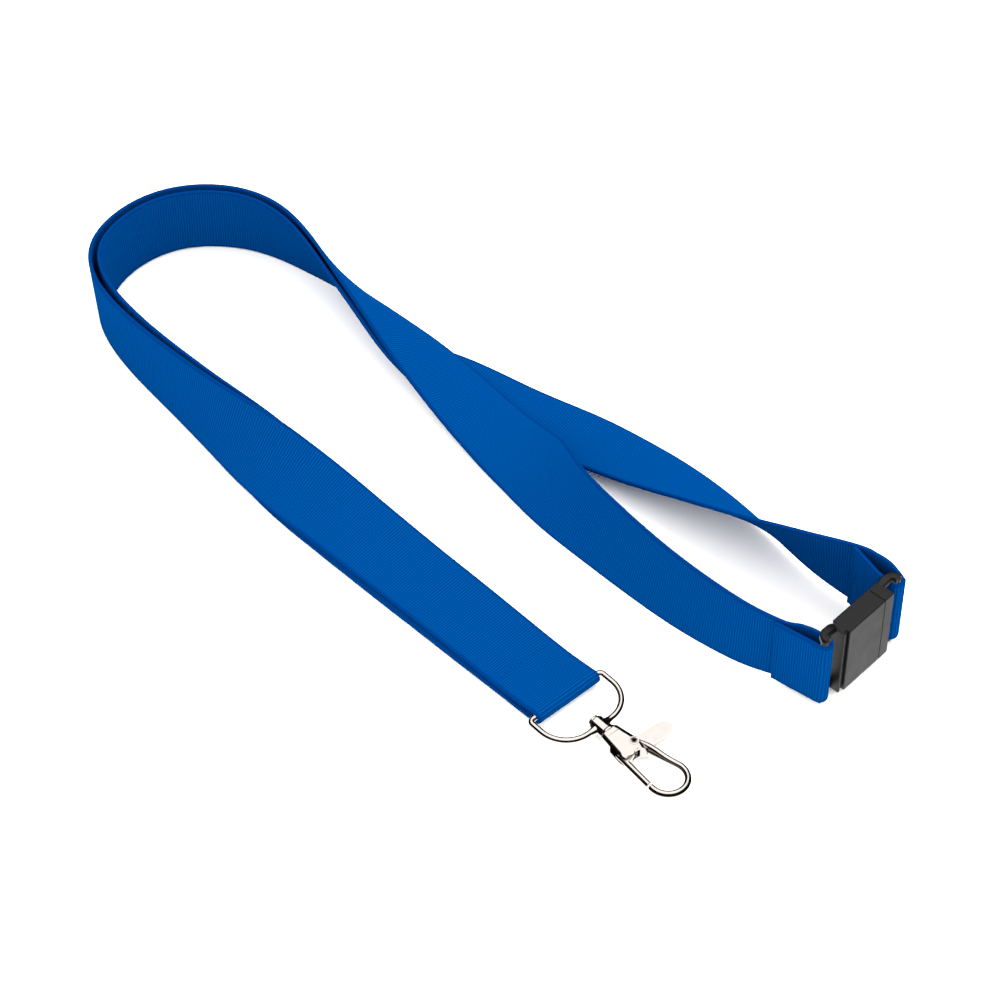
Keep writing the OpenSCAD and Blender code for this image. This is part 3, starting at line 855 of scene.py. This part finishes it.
# The inside of the bore is painted near black: painted shade for the dark of a narrow hole.
bore_black, bore_shader = new_material("unlit_bore")
bore_place = node(bore_black, "ShaderNodeTexCoord")
bore_shade_noise = node(bore_black, "ShaderNodeTexNoise", values={"Scale": 4000},
            links={"Vector": (bore_place, "Object")})
bore_shade_tone = node(bore_black, "ShaderNodeMix", {"data_type": "RGBA"},
                 {"A": linear("#050505"), "B": linear("#141312")}, {"Factor": (bore_shade_noise, "Fac")})
bore_black.node_tree.links.new(bore_shade_tone.outputs["Result"], bore_shader.inputs["Base Color"])
bore_shader.inputs["Roughness"].default_value = 0.8
plate_with_nickel(pin, "pivot_pin", "hook")
pin.data.materials.append(bore_black)
pin_middle = Vector((fold_x + pivot[0], swivel_y + pivot[1], fold_z)) * mm
# faces inside the bore take the painted shade
for face in pin.data.polygons:
    offset = face.center - pin_middle
    if math.hypot(offset.x, offset.y) < 0.69 * mm and abs(offset.z) < cheek_half * mm:
        face.material_index = 1

steel, steel_shader = new_material("drawn_spring_steel")
steel_place = node(steel, "ShaderNodeTexCoord")
draw_lines = node(steel, "ShaderNodeTexNoise", values={"Scale": 6000, "Detail": 2},
                  links={"Vector": (steel_place, "Object")})
steel_gloss = node(steel, "ShaderNodeMapRange", values={"To Min": 0.22, "To Max": 0.4},
                   links={"Value": (draw_lines, "Fac")})
steel_tone = node(steel, "ShaderNodeMix", {"data_type": "RGBA"},
                  {"A": linear("#8d8b88"), "B": linear("#a9a6a2")}, {"Factor": (draw_lines, "Fac")})
steel.node_tree.links.new(steel_gloss.outputs["Result"], steel_shader.inputs["Roughness"])
steel.node_tree.links.new(steel_tone.outputs["Result"], steel_shader.inputs["Base Color"])
steel_shader.inputs["Metallic"].default_value = 1
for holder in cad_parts["torsion_spring"].material_slots:
    holder.material = steel


# The table and the light: a white table top under a bright even studio, a broad soft box overhead,
# and a dark band low round the room that gives the plated parts their hard black edges.
nothing_selected()
bpy.ops.mesh.primitive_plane_add(size=6, location=(0, 0, -0.0001))
table = bpy.context.object
table.name = "table_top"
table_white, table_shader = new_material("white_table")
table_shader.inputs["Base Color"].default_value = linear("#fffdf9")
table_shader.inputs["Roughness"].default_value = 0.9
table_shader.inputs["Specular IOR Level"].default_value = 0.05
table.data.materials.append(table_white)

nothing_selected()
bpy.ops.mesh.primitive_cylinder_add(vertices=64, radius=2.4, depth=4.5, end_fill_type="NOTHING")
drape = bpy.context.object
drape.name = "dark_band"
drape_black, drape_shader = new_material("black_drape")
drape_shader.inputs["Base Color"].default_value = linear("#0a0a0a")
drape_shader.inputs["Roughness"].default_value = 1
drape_shader.inputs["Specular IOR Level"].default_value = 0
drape.data.materials.append(drape_black)
drape.visible_camera = False
drape.visible_diffuse = False
drape.visible_shadow = False
# neither the table nor the blue webbing shows in the plated parts
for unseen in (table, strap_main, strap_far):
    unseen.visible_glossy = False


def soft_box(name, place, size, power):
    nothing_selected()
    bpy.ops.object.light_add(type="AREA", location=place)
    box = bpy.context.object
    box.name = name
    box.data.shape = "DISK"
    box.data.size = size
    box.data.energy = power
    box.rotation_euler = (-Vector(place)).to_track_quat("-Z", "Y").to_euler()
    box.visible_glossy = False


soft_box("key_box", (-0.15, 0.6, 1.2), 0.9, 10)
soft_box("front_box", (0.7, -0.75, 0.75), 0.6, 2)
studio = bpy.data.worlds.new("studio")
studio.use_nodes = True
studio.node_tree.nodes["Background"].inputs["Color"].default_value = (1, 1, 1, 1)
studio.node_tree.nodes["Background"].inputs["Strength"].default_value = 2.4
bpy.context.scene.world = studio
bpy.context.scene.view_settings.view_transform = "Standard"
